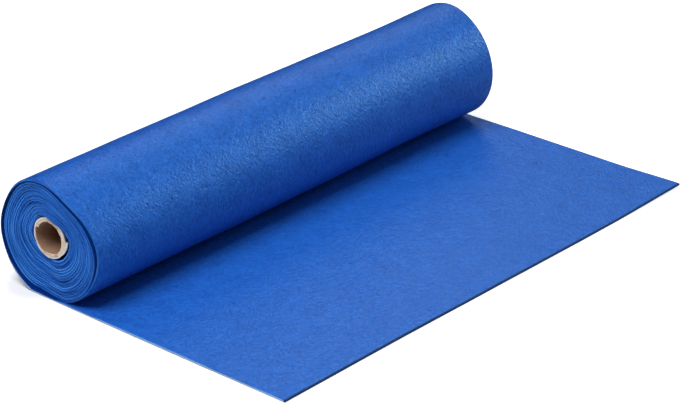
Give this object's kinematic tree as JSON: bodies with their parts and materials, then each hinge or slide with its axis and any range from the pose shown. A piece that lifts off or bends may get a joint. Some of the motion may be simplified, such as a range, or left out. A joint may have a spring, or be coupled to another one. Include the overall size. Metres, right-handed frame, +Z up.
{
  "type": "roll of felt on a cardboard core",
  "caption": "Roll of blue felt wound on a cardboard core, lying on its side with its loose end drawn out from under the roll and laid flat.",
  "frame": {"origin": "under the middle of the whole piece, on the surface that it lies on", "axes": "+Z up; +Y along the roll's axis, from the near end to the far end; +X from the roll towards the loose end"},
  "size_m": [0.2766, 0.4548, 0.0923],
  "materials": {
    "felt": "matt needle-punched fibre felt, bright blue, with a fine mottling of short fibres",
    "core_board": "wound grey-brown board with a paler outer ply, raw at its cut ends"
  },
  "bodies": {
    "root": {"felt": "felt", "core": "core_board"}
  },
  "joints": []
}
